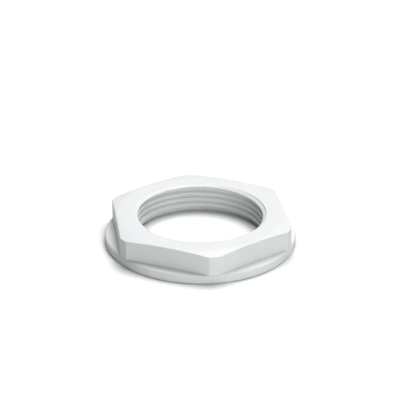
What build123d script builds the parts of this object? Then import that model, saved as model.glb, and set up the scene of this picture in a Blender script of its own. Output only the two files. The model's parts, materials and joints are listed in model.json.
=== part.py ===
from build123d import *
from math import ceil, radians, tan
import os

os.makedirs("parts", exist_ok=True)

# Lengths are in millimetres. The nut stands on its flange: the bore's axis is Z, the underside
# is z = 0, and two of the six corners lie on the Y axis.

# Metric fine internal thread, 32 mm nominal, right-handed, with a 60 degree profile. It starts
# bluntly, above a plain band at the foot of the bore, and runs out through the top.
thread_diameter = 32
thread_pitch = 1.5
flank_angle = 30
thread_start_height = 2.2
thread_start_angle = -80

# Spanner hexagon: the wall between the thread's roots and the flats gives the 41 mm spanner size.
# Its corners are turned down until they stand a little inside the flange's rim.
flat_wall = 4.5
nut_height = 7.2
corner_inset = 0.15
corner_rounding = 0.4
top_edge_chamfer = 0.2

# Shallow cone over the six top corners
chamfer_inset = 0.3
corner_drop = 0.5

# Flange that bears on the enclosure's wall
flange_overhang = 2.65
flange_thickness = 2.1
rim_rounding = 0.45
foot_chamfer = 0.25

# Countersinks at the two mouths of the bore
mouth_clearance = 0.1
top_countersink_angle = 140
lead_in_angle = 60

# The thread's profile comes from its pitch: a full triangle, cut off by an eighth of its height
# at the root and by a quarter at the crest.
major_radius = thread_diameter / 2
triangle_height = thread_pitch / (2 * tan(radians(flank_angle)))
minor_radius = major_radius - 5 / 8 * triangle_height
mouth_radius = major_radius + mouth_clearance
root_flat = thread_pitch / 8
crest_flat = thread_pitch / 4

flat_distance = major_radius + flat_wall
flange_radius = flat_distance + flange_overhang
corner_radius = flange_radius - corner_inset

# One turn of the thread groove. Its section is a trapezium, narrow at the root and carried
# inwards past the crests into the open bore.
groove_inner_radius = minor_radius - crest_flat / 2
groove_depth = major_radius - groove_inner_radius
groove_mouth = root_flat + 2 * groove_depth * tan(radians(flank_angle))
with BuildPart() as groove_turn:
    with BuildLine() as groove_path:
        Helix(thread_pitch, thread_pitch, major_radius)
    with BuildSketch(Plane.XZ):
        with Locations((major_radius, 0)):
            Trapezoid(
                groove_mouth,
                groove_depth,
                90 - flank_angle,
                rotation=-90,
                align=(Align.CENTER, Align.MAX),
            )
    sweep(path=groove_path.line, is_frenet=True)

with BuildPart() as locknut:
    # Hexagonal head with its corners turned down
    with BuildSketch(Plane.XY.offset(foot_chamfer)) as head_outline:
        RegularPolygon(flat_distance, 6, major_radius=False, rotation=30)
        Circle(corner_radius, mode=Mode.INTERSECT)
        fillet(head_outline.vertices(), corner_rounding)
    extrude(amount=nut_height - foot_chamfer)

    # Cone that lowers the top corners, cut as a ring with a wedge-shaped section
    chamfer_radius = flat_distance - chamfer_inset
    with BuildSketch(Plane.XZ):
        with BuildLine():
            Polyline(
                (chamfer_radius, nut_height),
                (corner_radius, nut_height - corner_drop),
                (flange_radius, nut_height - corner_drop),
                (flange_radius, nut_height),
                close=True,
            )
        make_face()
    revolve(axis=Axis.Z, mode=Mode.SUBTRACT)
    cone = locknut.faces().filter_by(GeomType.CONE)[0]
    outer_edges = cone.edges() - locknut.faces().sort_by(Axis.Z)[-1].edges()
    chamfer(outer_edges.filter_by(GeomType.LINE, reverse=True), top_edge_chamfer)

    # Round flange with a rounded rim
    with BuildSketch(Plane.XZ) as flange_profile:
        Rectangle(flange_radius, flange_thickness, align=(Align.MIN, Align.MIN))
        fillet(flange_profile.vertices().group_by(Axis.Y)[-1].sort_by(Axis.X)[-1], rim_rounding)
        chamfer(flange_profile.vertices().group_by(Axis.Y)[0].sort_by(Axis.X)[-1], foot_chamfer)
    revolve(axis=Axis.Z)

    # Bore at the thread's crests, countersunk at both mouths
    with Locations((0, 0, nut_height)):
        CounterSinkHole(minor_radius, mouth_radius, counter_sink_angle=top_countersink_angle)
    with Locations(Location((0, 0, 0), (180, 0, 0))):
        CounterSinkHole(minor_radius, mouth_radius, counter_sink_angle=lead_in_angle)

    # Thread, cut one turn above another until the groove has run out through the top
    thread_rise = nut_height + groove_mouth / 2 - thread_start_height
    for turn in range(ceil(thread_rise / thread_pitch)):
        turn_height = thread_start_height + turn * thread_pitch
        with Locations(Location((0, 0, turn_height), (0, 0, thread_start_angle))):
            add(groove_turn.part, mode=Mode.SUBTRACT)

locknut.part.label = "locknut"
export_step(locknut.part, "parts/locknut.step")
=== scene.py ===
import json
from math import atan2, cos, pi, radians, sin, sqrt, tan

import bmesh
import bpy
import numpy as np
from mathutils import Matrix, Vector


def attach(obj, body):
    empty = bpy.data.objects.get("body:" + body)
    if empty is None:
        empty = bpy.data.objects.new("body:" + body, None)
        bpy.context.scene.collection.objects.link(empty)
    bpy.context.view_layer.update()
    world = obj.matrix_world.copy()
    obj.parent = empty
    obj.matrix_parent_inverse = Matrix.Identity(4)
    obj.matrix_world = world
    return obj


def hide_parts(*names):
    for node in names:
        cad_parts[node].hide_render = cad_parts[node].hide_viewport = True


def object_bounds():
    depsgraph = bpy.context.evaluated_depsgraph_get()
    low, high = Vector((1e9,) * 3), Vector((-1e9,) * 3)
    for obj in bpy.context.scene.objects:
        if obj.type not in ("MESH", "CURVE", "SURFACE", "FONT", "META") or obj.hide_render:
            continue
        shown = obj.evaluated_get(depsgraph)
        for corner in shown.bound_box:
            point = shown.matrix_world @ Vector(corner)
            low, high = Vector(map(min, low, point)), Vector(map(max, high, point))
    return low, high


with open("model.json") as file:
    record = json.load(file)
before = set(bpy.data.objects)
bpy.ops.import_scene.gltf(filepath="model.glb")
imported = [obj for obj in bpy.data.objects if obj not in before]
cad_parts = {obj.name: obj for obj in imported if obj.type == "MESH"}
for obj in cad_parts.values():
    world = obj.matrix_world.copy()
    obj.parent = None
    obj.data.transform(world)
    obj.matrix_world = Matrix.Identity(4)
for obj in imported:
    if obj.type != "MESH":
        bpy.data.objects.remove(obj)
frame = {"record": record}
cad_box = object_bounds()

# Lengths are in metres. The nut stands on its flange, with the bore's axis on Z and two of the
# hexagon's corners on the Y axis.
MM = 0.001
gland_thread = next(m for m in frame["record"]["mounts"] if m["name"] == "gland_thread")
nut_height = cad_box[1].z
flange_radius = cad_box[1].y

# Spanner hexagon: flats, small roundings where they meet the turned-down corners, top edge
flat_distance = 20.5 * MM
corner_radius = flange_radius - 0.15 * MM
corner_rounding = 0.4 * MM
top_edge_rounding = 0.2 * MM
flat_count = 6
flat_angle = 2 * pi / flat_count

# Centre of a corner's rounding, seen from the flat's middle, and the angles from there at which
# the flat ends and the turned-down band of the corner starts
rounding_centre_x = flat_distance - corner_rounding
rounding_centre_radius = corner_radius - corner_rounding
rounding_centre_y = sqrt(rounding_centre_radius**2 - rounding_centre_x**2)
flat_end = atan2(rounding_centre_y, flat_distance)
band_start = atan2(rounding_centre_y, rounding_centre_x)

# Shallow cone that lowers the top corners
cone_start_radius = flat_distance - 0.3 * MM
corner_drop = 0.5 * MM
cone_slope = corner_drop / (corner_radius - cone_start_radius)

# Flange
flange_thickness = 2.1 * MM
rim_rounding = 0.45 * MM
foot_rounding = 0.25 * MM
wall_foot_fillet = 0.08 * MM

# Internal thread: a right-hand trapezium groove between the crest and the root radius, which
# starts bluntly above a plain band. The start's place round the bore and the run-in are shares of
# a turn, the two flats are shares of the pitch, and the rounding is a share of the flank.
thread_pitch = 1.5 * MM
thread_start_height = 2.2 * MM
thread_start_turn = -80 / 360
groove_run_in = 0.01
crest_radius = gland_thread["dims"]["r_mm"] * MM
root_radius = 16 * MM
root_flat = 1 / 8
crest_flat = 1 / 4
flank_share = (1 - root_flat - crest_flat) / 2
flank_rounding = 0.12

# Countersinks at the two mouths of the bore, with their cones' angles to the axis, the roundings
# of their outer edges, and the softness of the edge where a cone meets the thread
mouth_radius = 16.1 * MM
top_cone_angle = radians(70)
lead_in_angle = radians(30)
mouth_rounding = 0.1 * MM
mouth_edge_radius = mouth_radius + mouth_rounding
mouth_blend = 0.03 * MM

# Steps of the nut's grid. Its columns run round the bore's axis and its rows along the profile.
flat_steps = 60
rounding_steps = 4
half_band_steps = 3
top_face_steps = 4
cone_steps = 5
top_edge_steps = 6
wall_steps = 7
fillet_steps = 4
ledge_steps = 3
rim_steps = 8
foot_steps = 5
underside_steps = 5
mouth_steps = 4

# The thread's rows: places along a flank between its roundings, how many turns the rows span, and
# how many of these lie below the groove's start
flank_rows = (0.37, 0.63)
thread_turns = 7
turns_below_start = 3

# Slices of evenly spaced rows: without both ends, and without the first
between_ends = slice(1, -1)
after_first = slice(1, None)

# Points closer than this are merged, and edges that turn by more than this are shaded sharp
merge_distance = 1e-4 * MM
sharp_edge_angle = radians(40)


def even_rows(start, end, steps, kept=slice(None)):
    """Rows in even steps from start to end. Kept says which of them are returned."""
    share = np.linspace(0, 1, steps + 1)[kept, None]
    return start + (end - start) * share


def blend_corner(start, corner, end, steps):
    """Rows of a quadratic curve that leaves start towards corner and comes in to end from it.
    Each of the three is a radius and a height, and the curve is (1-s)^2, 2s(1-s), s^2 of them."""
    s = np.linspace(0, 1, steps + 1)[:, None]
    weights = ((1 - s) ** 2, 2 * s * (1 - s), s**2)
    radius = sum(w * p[0] for w, p in zip(weights, (start, corner, end)))
    height = sum(w * p[1] for w, p in zip(weights, (start, corner, end)))
    return radius, height


def head_outline(azimuth):
    """Radius and lean of the hexagon's outline at each azimuth. With a as the angle from the
    nearest flat's middle, the radius is the flat's distance over cos(a), then the arc of the
    corner rounding, then the corner's radius. The lean is the cosine between the outline's
    normal and the radius."""
    turn = (azimuth + flat_angle / 2) % flat_angle - flat_angle / 2
    side = np.abs(turn)
    off = side - band_start
    across = rounding_centre_radius * np.sin(off)
    reach = np.sqrt(np.maximum(corner_rounding**2 - across**2, 0))
    rounding = rounding_centre_radius * np.cos(off) + reach
    radius = np.where(side <= flat_end, flat_distance / np.cos(side), rounding)
    radius = np.where(side >= band_start, corner_radius, radius)
    lean = np.where(side <= flat_end, np.cos(side), reach / corner_rounding)
    lean = np.where(side >= band_start, 1.0, lean)
    return radius, lean


def column_azimuths():
    """Azimuth of each column of the grid, from one corner once round to the same corner: even
    steps over each flat, over its two corner roundings and over half a band at each end."""
    half_band = np.linspace(band_start, flat_angle / 2, half_band_steps + 1)
    rounding = np.linspace(flat_end, band_start, rounding_steps + 1)
    flat = np.linspace(-flat_end, flat_end, flat_steps + 1)
    before = [-half_band[:0:-1], -rounding[:0:-1]]
    after = [rounding[1:], half_band[1:-1]]
    sector = np.concatenate([*before, flat, *after])
    turns = flat_angle * np.arange(flat_count)
    azimuth = (turns[:, None] + sector[None, :]).ravel()
    return np.append(azimuth, azimuth[0] + 2 * pi)


def rim_path(along):
    """Radius and height along the ledge and the rim's rounding. Below zero the path is the flat
    ledge; from zero it is a quarter circle that turns from the ledge down to the rim."""
    angle = np.clip(along, 0, None) / rim_rounding
    radius = flange_radius - rim_rounding + np.minimum(along, 0) + rim_rounding * np.sin(angle)
    height = flange_thickness - rim_rounding + rim_rounding * np.cos(angle)
    return radius, height


def outer_rows(azimuth):
    """Rows of the outside, from the top face's inner edge outwards and down to the underside's.
    Each row is a radius and a height for every column."""
    wall, lean = head_outline(azimuth)
    ones = np.ones_like(wall)
    inner = mouth_edge_radius * ones
    rows = []

    # Top face, then the shallow cone up to the top edge's rounding
    radius = even_rows(inner, cone_start_radius, top_face_steps)
    rows.append((radius, nut_height + 0 * radius))
    edge_angle = np.arctan(cone_slope / lean)
    edge_inset = top_edge_rounding * (1 - np.sin(edge_angle)) / lean
    radius = even_rows(cone_start_radius, wall - edge_inset, cone_steps, between_ends)
    rows.append((radius, nut_height - cone_slope * (radius - cone_start_radius)))

    # Rounding of the top edge: a circle between the cone and the wall
    wall_top = nut_height - cone_slope * (wall - cone_start_radius)
    arc_height = wall_top + top_edge_rounding * (np.tan(edge_angle) - 1 / np.cos(edge_angle))
    angle = (pi / 2 - edge_angle) * np.linspace(1, 0, top_edge_steps + 1)[:, None]
    radius = wall - top_edge_rounding * (1 - np.cos(angle)) / lean
    rows.append((radius, arc_height + top_edge_rounding * np.sin(angle)))

    # Where the wall stands on the ledge, or on the rim's rounding near a corner. The fillet there
    # takes at most a third of the way that is left to the rim.
    overhang = wall - (flange_radius - rim_rounding)
    on_rim = rim_rounding * np.arcsin(np.clip(overhang / rim_rounding, 0, 1))
    foot = np.where(overhang > 0, on_rim, overhang)
    rim_length = rim_rounding * pi / 2
    fillet = np.minimum(wall_foot_fillet, (rim_length - foot) / 3)
    foot_height = rim_path(foot)[1]

    # Wall, from below the top edge to above the foot's fillet
    height = even_rows(arc_height, foot_height + fillet, wall_steps, between_ends)
    rows.append((wall + 0 * height, height))
    start = (wall, foot_height + fillet)
    rows.append(blend_corner(start, (wall, foot_height), rim_path(foot + fillet), fillet_steps))

    # Ledge, then the rim's rounding
    ledge_start = foot + fillet
    rim_start = np.maximum(ledge_start, 0)
    rows.append(rim_path(even_rows(ledge_start, rim_start, ledge_steps, after_first)))
    rows.append(rim_path(even_rows(rim_start, rim_length, rim_steps, after_first)))

    # Rim, rounded foot and underside
    angle = np.linspace(0, pi / 2, foot_steps + 1)[:, None]
    radius = flange_radius - foot_rounding * (1 - np.cos(angle))
    rows.append((radius * ones, (foot_rounding - foot_rounding * np.sin(angle)) * ones))
    outer = (flange_radius - foot_rounding) * ones
    radius = even_rows(outer, inner, underside_steps, between_ends)
    rows.append((radius, 0 * radius))
    return rows


def soft_ramp(x):
    """Zero below zero and x above it, with a parabola between them."""
    blend = (x + flank_rounding) ** 2 / (4 * flank_rounding)
    return np.where(x < -flank_rounding, 0, np.where(x > flank_rounding, x, blend))


def bore_radius(height, azimuth):
    """Radius of the bore's wall. Between two crests the groove is a trapezium with softened
    corners: its depth falls along a ramp from the root flat to the crest flat. A countersink's
    cone takes over where it is wider, through a smooth maximum."""
    travel = azimuth / (2 * pi) - thread_start_turn
    turns = (height - thread_start_height) / thread_pitch - travel
    from_root = np.abs(turns - np.round(turns))
    run_in = np.clip((np.round(turns) + travel) / groove_run_in, 0, 1)
    ramp = (from_root - root_flat / 2) / flank_share
    depth = (root_radius - crest_radius) * (1 - soft_ramp(ramp) + soft_ramp(ramp - 1))
    wall = crest_radius + run_in * depth
    top_cone = mouth_radius - (nut_height - height) * tan(top_cone_angle)
    lead_in = mouth_radius - height * tan(lead_in_angle)
    for cone in (top_cone, lead_in):
        wall = (wall + cone + np.sqrt((wall - cone) ** 2 + mouth_blend**2)) / 2
    return wall


def bore_rows(azimuth):
    """Rows of the bore, from the underside up. The rows climb with the thread, so that one row
    follows each edge of the groove, and are held back at the two mouths."""
    # One turn goes from the root's middle up one flank, over the crest's middle, halfway through
    # the turn, and down the other flank.
    root_end = [-flank_rounding, 0, flank_rounding]
    crest_start = [1 - flank_rounding, 1, 1 + flank_rounding]
    half = root_flat / 2 + flank_share * np.array([*root_end, *flank_rows, *crest_start])
    one_turn = np.concatenate([[0], half, [0.5], 1 - half[::-1]])
    turns = (np.arange(thread_turns)[:, None] + one_turn[None, :]).ravel()
    travel = azimuth[None, :] / (2 * pi) - thread_start_turn
    height = thread_start_height + thread_pitch * (turns[:, None] - turns_below_start + travel)
    low = mouth_rounding * cos(lead_in_angle)
    high = nut_height - mouth_rounding * cos(top_cone_angle)
    height = np.clip(height, low, high)
    radius = bore_radius(height, azimuth[None, :] + 0 * height)

    ones = np.ones_like(azimuth)
    underside = (mouth_edge_radius * ones, 0 * ones)
    lower_corner = (mouth_radius * ones, 0 * ones)
    lower = blend_corner(underside, lower_corner, (radius[0], height[0]), mouth_steps)
    top_face = (mouth_edge_radius * ones, nut_height * ones)
    upper_corner = (mouth_radius * ones, nut_height * ones)
    upper = blend_corner((radius[-1], height[-1]), upper_corner, top_face, mouth_steps)
    return [lower, (radius, height), upper]


def closed_mesh(name, radius, height, azimuth):
    """Mesh of a grid whose columns go once round and whose rows go once along a closed profile.
    A point is (radius cos azimuth, radius sin azimuth, height). Rows that meet are merged, and
    so are the first and the last column, where the thread has climbed by one row of turns."""
    points = np.stack([radius * np.cos(azimuth), radius * np.sin(azimuth), height], axis=-1)
    row_count, column_count = radius.shape
    index = np.arange(row_count * column_count).reshape(row_count, column_count)
    below = index[:, :-1]
    above = np.roll(index, -1, axis=0)[:, :-1]
    beside = index[:, 1:]
    across = np.roll(index, -1, axis=0)[:, 1:]
    faces = np.stack([below, beside, across, above], axis=-1).reshape(-1, 4)
    mesh = bpy.data.meshes.new(name)
    mesh.from_pydata(points.reshape(-1, 3), [], faces)
    grid = bmesh.new()
    grid.from_mesh(mesh)
    bmesh.ops.remove_doubles(grid, verts=grid.verts, dist=merge_distance)
    bmesh.ops.recalc_face_normals(grid, faces=grid.faces)
    grid.to_mesh(mesh)
    grid.free()
    mesh.shade_smooth()
    mesh.set_sharp_from_angle(angle=sharp_edge_angle)
    return mesh


def moulded_nut():
    """The whole nut as one closed surface: the outside's rows, then the bore's from below."""
    azimuth = column_azimuths()
    rows = outer_rows(azimuth) + bore_rows(azimuth)
    radius = np.concatenate([r + 0 * azimuth for r, h in rows])
    height = np.concatenate([h + 0 * azimuth for r, h in rows])
    nut = bpy.data.objects.new("moulded_nut", closed_mesh("moulded_nut", radius, height, azimuth))
    bpy.context.collection.objects.link(nut)
    return nut


# Moulding: the tints at the two ends of the melt's clouds, the range of its roughness and the
# depth of its grain. The scales count features per metre. The noise range is the part of a
# noise's values that is spread over the tints and over the roughness.
cloud_tints = ((0.705, 0.74, 0.715, 1), (0.735, 0.77, 0.75, 1))
cloud_scale = 160
roughness_range = (0.45, 0.55)
roughness_scale = 420
plastic_gloss = 0.25
grain_scale = 3200
grain_roughness = 0.6
grain_strength = 0.25
grain_depth = 0.02 * MM
noise_range = (0.3, 0.7)

# Floor: its grey in the open, the grey of the painted shadow at the nut's foot and its grey for
# the light that it throws back, how far from the nut the painted shadow reaches and the openness
# right at the foot, and the paper's tint, which keeps the shade neutral under the tinted lamp
floor_grey = 0.95
painted_shadow_grey = 0.66
bounce_grey = 0.68
painted_shadow_reach = 3 * MM
painted_shadow_samples = 8
foot_openness = 0.5
paper_tint = (0.97, 1.0, 0.955)
paper_roughness = 0.9
paper_gloss = 0.1
floor_half_width = 0.8


def new_material(name):
    """A material with its Principled shader, its nodes and its links."""
    material = bpy.data.materials.new(name)
    material.use_nodes = True
    nodes = material.node_tree.nodes
    return material, nodes, material.node_tree.links, nodes["Principled BSDF"]


def add_noise(nodes, links, place, scale, detail, roughness=0.5):
    """Noise over the object's own coordinates."""
    noise = nodes.new("ShaderNodeTexNoise")
    noise.inputs["Scale"].default_value = scale
    noise.inputs["Detail"].default_value = detail
    noise.inputs["Roughness"].default_value = roughness
    links.new(place.outputs["Object"], noise.inputs["Vector"])
    return noise.outputs["Fac"]


def map_range(nodes, links, value, given, wanted):
    """Maps a value from the given range to the wanted one, each a low and a high end."""
    spread = nodes.new("ShaderNodeMapRange")
    spread.inputs["From Min"].default_value, spread.inputs["From Max"].default_value = given
    spread.inputs["To Min"].default_value, spread.inputs["To Max"].default_value = wanted
    links.new(value, spread.inputs["Value"])
    return spread.outputs["Result"]


def moulding_plastic():
    """Light grey polyamide: satin, with faint clouds from the flow of the melt, a fine grain from
    the mould's eroded surface, and a roughness that drifts a little."""
    material, nodes, links, shader = new_material("grey_polyamide")
    place = nodes.new("ShaderNodeTexCoord")

    clouds = add_noise(nodes, links, place, cloud_scale, detail=3)
    tint = nodes.new("ShaderNodeValToRGB")
    for element, position, colour in zip(tint.color_ramp.elements, noise_range, cloud_tints):
        element.position = position
        element.color = colour
    links.new(clouds, tint.inputs["Fac"])
    links.new(tint.outputs["Color"], shader.inputs["Base Color"])

    drift = add_noise(nodes, links, place, roughness_scale, detail=2)
    sheen = map_range(nodes, links, drift, noise_range, roughness_range)
    links.new(sheen, shader.inputs["Roughness"])
    shader.inputs["Specular IOR Level"].default_value = plastic_gloss

    grain = add_noise(nodes, links, place, grain_scale, detail=4, roughness=grain_roughness)
    bump = nodes.new("ShaderNodeBump")
    bump.inputs["Strength"].default_value = grain_strength
    bump.inputs["Distance"].default_value = grain_depth
    links.new(grain, bump.inputs["Height"])
    links.new(bump.outputs["Normal"], shader.inputs["Normal"])
    return material


def floor_paper():
    """White matt paper with a painted shadow at the nut's foot. Seen by the camera or in a
    reflection its colour is painted darker where the nut stands on it: the open share of the sky
    above each point, within a few millimetres, sets the grey of this painted shade."""
    material, nodes, links, shader = new_material("white_floor")
    # Painted shadow: the floor's grey falls from the open grey to the foot's darker grey where
    # little sky is open near the nut
    openness = nodes.new("ShaderNodeAmbientOcclusion")
    openness.samples = painted_shadow_samples
    openness.inputs["Distance"].default_value = painted_shadow_reach
    painted_shadow_greys = (painted_shadow_grey, floor_grey)
    grey = map_range(nodes, links, openness.outputs["AO"], (foot_openness, 1), painted_shadow_greys)

    path = nodes.new("ShaderNodeLightPath")
    looking = path.outputs["Is Camera Ray"]
    for ray in ("Is Glossy Ray", "Is Transmission Ray"):
        either = nodes.new("ShaderNodeMath")
        either.operation = "MAXIMUM"
        links.new(looking, either.inputs[0])
        links.new(path.outputs[ray], either.inputs[1])
        looking = either.outputs["Value"]
    seen = nodes.new("ShaderNodeMix")
    links.new(looking, seen.inputs["Factor"])
    seen.inputs["A"].default_value = bounce_grey
    links.new(grey, seen.inputs["B"])

    paper = nodes.new("ShaderNodeVectorMath")
    paper.operation = "SCALE"
    paper.inputs["Vector"].default_value = paper_tint
    links.new(seen.outputs["Result"], paper.inputs["Scale"])
    links.new(paper.outputs["Vector"], shader.inputs["Base Color"])
    shader.inputs["Roughness"].default_value = paper_roughness
    shader.inputs["Specular IOR Level"].default_value = paper_gloss
    return material


def add_floor():
    """White matt floor with a painted shadow at the nut's foot, wide enough for every view."""
    sides = np.array([(-1, -1, 0), (1, -1, 0), (1, 1, 0), (-1, 1, 0)])
    mesh = bpy.data.meshes.new("floor")
    mesh.from_pydata(floor_half_width * sides, [], [(0, 1, 2, 3)])
    floor = bpy.data.objects.new("floor", mesh)
    bpy.context.collection.objects.link(floor)
    mesh.materials.append(floor_paper())


# Camera, as seen from the front: how far it stands round to the left, its height above the
# horizon, its distance from a point inside the nut, its lens and sensor in millimetres, and the
# framing's small offsets
camera_azimuth = radians(-8.1)
camera_elevation = radians(25.5)
camera_distance = 368.5 * MM
camera_lens = 136.3
sensor_width = 36
camera_clip_start = 0.01
camera_roll = radians(0.25)
aim_height = 3 * MM
shift_right = -0.08 * MM
shift_up = 6.7 * MM

# Lamps: a high one behind the nut, faintly violet, and a white fill close by at the front right.
# Each has its azimuth from the camera's right towards the back and its height above the horizon,
# in degrees, its distance and size, and its level, which is what it adds to a white surface that
# faces it.
lamps = {
    "key": {
        "azimuth": 75,
        "elevation": 68,
        "distance": 0.6,
        "width": 0.5,
        "height": 0.46,
        "level": 1.17,
        "colour": (0.98, 0.945, 1.0),
    },
    "fill": {
        "azimuth": -70,
        "elevation": 18,
        "distance": 0.25,
        "width": 0.16,
        "height": 0.11,
        "level": 0.47,
        "colour": (1.0, 1.0, 1.0),
    },
}
ambient_level = 0.03


def add_camera():
    """The photograph's camera, turned about the nut's axis and raised, with its offsets."""
    azimuth, elevation = camera_azimuth, camera_elevation
    right = Vector((cos(azimuth), sin(azimuth), 0))
    back = Vector((sin(azimuth) * cos(elevation), -cos(azimuth) * cos(elevation), sin(elevation)))
    up = back.cross(right)
    aim = Vector((0, 0, aim_height)) + up * shift_up + right * shift_right
    data = bpy.data.cameras.new("camera")
    data.lens = camera_lens
    data.sensor_width = sensor_width
    data.clip_start = camera_clip_start
    camera = bpy.data.objects.new("camera", data)
    turn = Matrix((right, up, back)).transposed() @ Matrix.Rotation(camera_roll, 3, "Z")
    camera.matrix_world = Matrix.Translation(aim + back * camera_distance) @ turn.to_4x4()
    bpy.context.collection.objects.link(camera)
    bpy.context.scene.camera = camera


def add_lamp(name, azimuth, elevation, distance, width, height, level, colour):
    """A soft elliptical lamp that looks at the nut. Its power is the level times pi squared times
    the squared distance to the lamp's edge."""
    turn = camera_azimuth + radians(azimuth)
    rise = radians(elevation)
    towards = Vector((cos(turn) * cos(rise), sin(turn) * cos(rise), sin(rise)))
    data = bpy.data.lights.new(name, "AREA")
    data.shape = "ELLIPSE"
    data.size = width
    data.size_y = height
    data.color = colour
    data.energy = level * pi**2 * (distance**2 + width * height / 4)
    lamp = bpy.data.objects.new(name, data)
    lamp.location = towards * distance
    lamp.rotation_euler = towards.to_track_quat("Z", "Y").to_euler()
    lamp.visible_camera = False
    bpy.context.collection.objects.link(lamp)


def add_world():
    """Even white light from all round."""
    world = bpy.data.worlds.new("studio")
    world.use_nodes = True
    background = world.node_tree.nodes["Background"]
    background.inputs["Color"].default_value = (1, 1, 1, 1)
    background.inputs["Strength"].default_value = ambient_level
    bpy.context.scene.world = world


nut = moulded_nut()
nut.data.materials.append(moulding_plastic())
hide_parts("locknut")
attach(nut, "root")

add_floor()
add_camera()
for lamp_name, lamp_settings in lamps.items():
    add_lamp(lamp_name, **lamp_settings)
add_world()
bpy.context.scene.view_settings.view_transform = "Standard"
